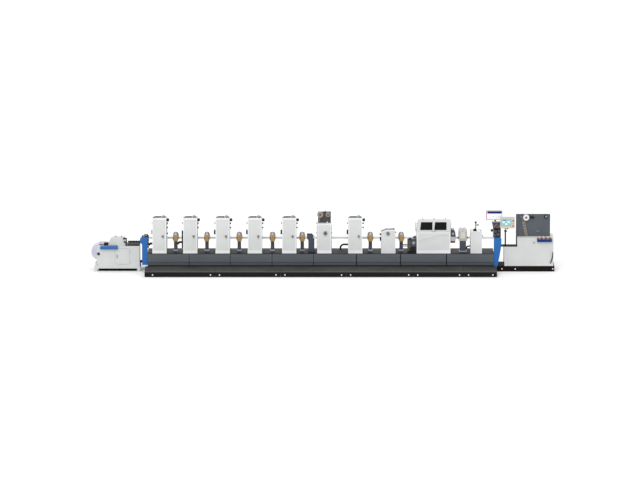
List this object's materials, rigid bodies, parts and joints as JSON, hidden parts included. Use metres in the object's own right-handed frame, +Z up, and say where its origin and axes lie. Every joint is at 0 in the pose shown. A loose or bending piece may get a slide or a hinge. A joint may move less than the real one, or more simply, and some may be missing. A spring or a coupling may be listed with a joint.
{
  "type": "offset label press",
  "caption": "Inline offset label press with printing towers, lamp dryers, foil unit, die cutter, unwinder and rewinder on a long slate bed behind a step walkway.",
  "frame": {"origin": "on the floor, in the middle of the whole press's length and depth", "axes": "+X along the web from the unwinder to the rewinder, +Y from the operator to the drive side, +Z up"},
  "size_m": [14.335, 1.69, 1.898],
  "materials": {
    "slate": "satin",
    "dark_metal": "satin",
    "deck_metal": "matte",
    "white_paint": "satin",
    "grey_paint": "satin",
    "blue_paint": "satin",
    "gold_paint": "satin",
    "cream_paint": "satin",
    "steel": "brushed",
    "black_plastic": "matte",
    "paper": "matte",
    "ink_rubber": "matte",
    "dark_glass": "gloss",
    "brown_paint": "matte"
  },
  "bodies": {
    "press": {"bed_frame": "dark_metal", "deck_plate": "deck_metal", "deck_rails": "dark_metal", "front_panels": "slate", "rear_panels": "slate", "feet": "steel", "walkway": "deck_metal", "unwind_base": "dark_metal", "unwind_cabinet": "white_paint", "unwind_hump": "white_paint", "unwind_bracket": "black_plastic", "infeed_frame": "blue_paint", "infeed_bracket": "black_plastic", "ink_ducts": "slate", "dryer_caps": "slate", "outfeed_rollers": "steel", "print_cylinders": "steel", "ink_rollers": "ink_rubber", "tower_knobs": "black_plastic", "dryer_posts": "slate", "dryer_heads": "gold_paint", "web_guide": "slate", "foil_tower": "grey_paint", "foil_plate": "slate", "varnish_tower": "grey_paint", "die_cutter": "grey_paint", "die_cylinders": "steel", "die_drive": "brown_paint", "matrix_unit": "cream_paint", "inspection_unit": "cream_paint", "slitter_tower": "grey_paint", "slitter_sensor": "black_plastic", "outfeed_frame": "blue_paint", "outfeed_console": "dark_metal", "hmi_post": "dark_metal", "rewind_base": "dark_metal", "rewind_cabinet": "white_paint", "rewind_plate": "slate", "consoles": "blue_paint", "web_rollers": "steel", "web": "paper", "hoses": "black_plastic", "print_tower_1": "grey_paint", "print_tower_2": "grey_paint", "print_tower_3": "grey_paint", "print_tower_4": "grey_paint", "print_tower_5": "grey_paint", "print_tower_6": "grey_paint"},
    "unwind_roll": {"unwind_roll": "paper", "unwind_shaft": "steel"},
    "unwind_door": {"unwind_door": "white_paint"},
    "die_hood": {"die_hood": "white_paint", "die_windows": "dark_glass"},
    "foil_reel_left": {"foil_reel_left": "gold_paint"},
    "foil_reel_right": {"foil_reel_right": "gold_paint"},
    "waste_reel": {"waste_reel": "paper"},
    "monitor": {"monitor": "black_plastic"},
    "hmi_panel": {"hmi_panel": "cream_paint"}
  },
  "joints": [
    {"name": "unwind_roll_spin", "type": "hinge", "parent": "press", "child": "unwind_roll", "pos_m": [-6.9275, 0.4, 0.56], "axis": [0, 1, 0], "continuous": true},
    {"name": "unwind_door_hinge", "type": "hinge", "parent": "press", "child": "unwind_door", "pos_m": [-5.97, 0.048, 0.47], "axis": [0, 0, 1], "range_deg": [0, 110]},
    {"name": "die_hood_lift", "type": "hinge", "parent": "press", "child": "die_hood", "pos_m": [3.4275, 0.61, 1.405], "axis": [-1, 0, 0], "range_deg": [0, 70]},
    {"name": "foil_reel_left_spin", "type": "hinge", "parent": "press", "child": "foil_reel_left", "pos_m": [-0.075, 0.185, 1.767], "axis": [0, 1, 0], "continuous": true},
    {"name": "foil_reel_right_spin", "type": "hinge", "parent": "press", "child": "foil_reel_right", "pos_m": [0.164, 0.185, 1.767], "axis": [0, 1, 0], "continuous": true},
    {"name": "waste_reel_spin", "type": "hinge", "parent": "press", "child": "waste_reel", "pos_m": [6.2905, 0.269, 1.663], "axis": [0, 1, 0], "continuous": true},
    {"name": "monitor_tilt", "type": "hinge", "parent": "press", "child": "monitor", "pos_m": [5.3315, 0.235, 1.7], "axis": [1, 0, 0], "range_deg": [-15, 5]},
    {"name": "hmi_swivel", "type": "hinge", "parent": "press", "child": "hmi_panel", "pos_m": [5.6455, 0.12, 1.4], "axis": [0, 0, 1], "range_deg": [-12, 40]}
  ]
}
